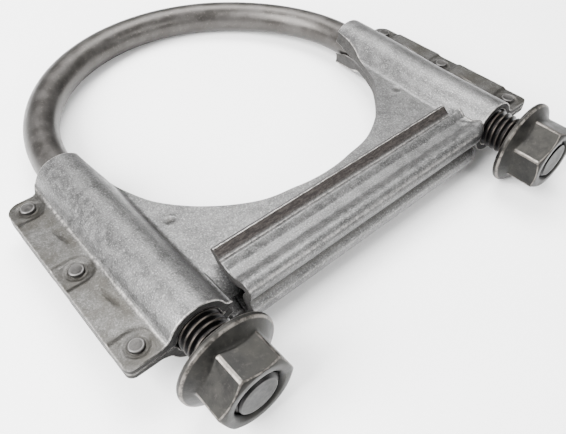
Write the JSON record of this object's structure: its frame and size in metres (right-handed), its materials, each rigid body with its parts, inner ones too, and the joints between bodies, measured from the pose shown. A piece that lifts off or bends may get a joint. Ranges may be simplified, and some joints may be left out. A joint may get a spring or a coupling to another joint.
{
  "type": "exhaust u-bolt clamp",
  "caption": "Heavy-duty exhaust U-bolt clamp: a bent threaded rod, a riveted double-stamped saddle with a rolled front bar, and hexagon flange nuts.",
  "frame": {"origin": "on the pipe's axis, in the plane of the rod's centre line, where the two legs start", "axes": "+X towards the right leg, +Y towards the bend, +Z along the pipe's axis; the threaded ends point to -Y"},
  "size_m": [0.1504, 0.1525, 0.026],
  "materials": {
    "rod_steel": "dull mill finish",
    "coated_sheet": "satin, mottled metallic coating",
    "nut_steel": "dark phosphate",
    "rivet_steel": "dull"
  },
  "bodies": {
    "u_bolt": {"u_bolt": "rod_steel"},
    "saddle": {"upper_saddle": "coated_sheet", "lower_saddle": "coated_sheet", "rivet_left_rear": "rivet_steel", "rivet_left_middle": "rivet_steel", "rivet_left_front": "rivet_steel", "rivet_right_rear": "rivet_steel", "rivet_right_middle": "rivet_steel", "rivet_right_front": "rivet_steel"},
    "nut_left": {"nut_left": "nut_steel"},
    "nut_right": {"nut_right": "nut_steel"}
  },
  "joints": [
    {"name": "saddle_slide", "type": "slide", "parent": "u_bolt", "child": "saddle", "axis": [0, 1, 0], "range_m": [-0.00525, 0.00263]},
    {"name": "nut_left_spin", "type": "hinge", "parent": "saddle", "child": "nut_left", "pos_m": [-0.05663, -0.0785, 0], "axis": [0, 1, 0], "range_deg": [-1085, 543]},
    {"name": "nut_right_spin", "type": "hinge", "parent": "saddle", "child": "nut_right", "pos_m": [0.05663, -0.0785, 0], "axis": [0, 1, 0], "range_deg": [-1085, 543]}
  ],
  "couplings": [
    {"joint": "nut_left_spin", "follows": "saddle_slide", "rad_per_m": 3590.4},
    {"joint": "nut_right_spin", "follows": "saddle_slide", "rad_per_m": 3590.4}
  ]
}
